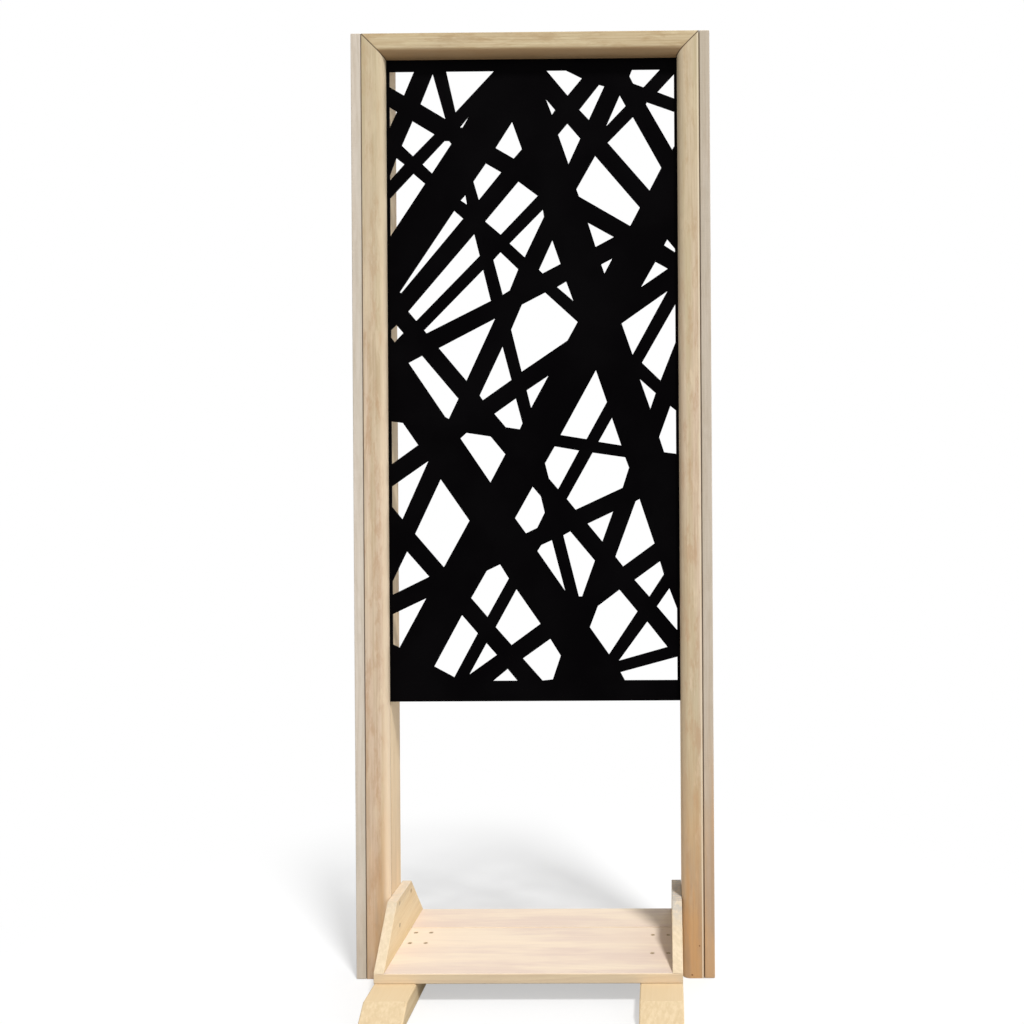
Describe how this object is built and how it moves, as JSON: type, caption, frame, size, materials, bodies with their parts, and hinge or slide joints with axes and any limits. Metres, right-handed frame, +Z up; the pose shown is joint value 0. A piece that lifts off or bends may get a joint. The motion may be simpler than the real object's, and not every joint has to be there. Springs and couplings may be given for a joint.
{
  "type": "garden privacy screen",
  "caption": "Free-standing timber garden screen with a black lattice panel held between its posts, above a plant shelf with gussets on runner feet.",
  "frame": {"origin": "on the ground, at the middle of the box round the whole screen", "axes": "+Z up along the posts, +X across the screen, the front with the mouldings faces -Y"},
  "size_m": [0.6546, 0.464, 1.725],
  "materials": {
    "frame_timber": "planed pine, weathered",
    "side_timber": "rough sawn pine, greyed",
    "shelf_timber": "planed pine, sun bleached",
    "panel_metal": "black powder coat, fine matt",
    "screw_metal": "zinc plated, dulled"
  },
  "bodies": {
    "root": {"screen_panel": "panel_metal", "core_top_rail": "frame_timber", "top_front_moulding": "frame_timber", "base_board_front": "shelf_timber", "base_board_back": "shelf_timber", "left_side_board": "side_timber", "left_core_post": "frame_timber", "left_front_moulding": "frame_timber", "left_panel_spacer": "frame_timber", "left_gusset": "shelf_timber", "left_foot": "shelf_timber", "right_side_board": "side_timber", "right_core_post": "frame_timber", "right_front_moulding": "frame_timber", "right_panel_spacer": "frame_timber", "right_gusset": "shelf_timber", "right_foot": "shelf_timber", "left_shelf_screw_1": "screw_metal", "left_shelf_screw_2": "screw_metal", "left_shelf_screw_3": "screw_metal", "left_shelf_screw_4": "screw_metal", "right_shelf_screw_1": "screw_metal", "right_shelf_screw_2": "screw_metal", "right_shelf_screw_3": "screw_metal", "right_shelf_screw_4": "screw_metal", "left_gusset_front_screw_1": "screw_metal", "left_gusset_front_screw_2": "screw_metal", "right_gusset_front_screw_1": "screw_metal", "right_gusset_front_screw_2": "screw_metal", "left_foot_screw_1": "screw_metal", "left_foot_screw_2": "screw_metal", "right_foot_screw_1": "screw_metal", "right_foot_screw_2": "screw_metal", "left_side_front_screw_1": "screw_metal", "left_side_front_screw_2": "screw_metal", "left_side_front_screw_3": "screw_metal", "left_side_back_screw_1": "screw_metal", "left_side_back_screw_2": "screw_metal", "left_side_back_screw_3": "screw_metal", "right_side_front_screw_1": "screw_metal", "right_side_front_screw_2": "screw_metal", "right_side_front_screw_3": "screw_metal", "right_side_back_screw_1": "screw_metal", "right_side_back_screw_2": "screw_metal", "right_side_back_screw_3": "screw_metal", "left_rail_screw": "screw_metal", "right_rail_screw": "screw_metal", "top_screw_1": "screw_metal", "top_screw_2": "screw_metal", "top_screw_3": "screw_metal"}
  },
  "joints": []
}
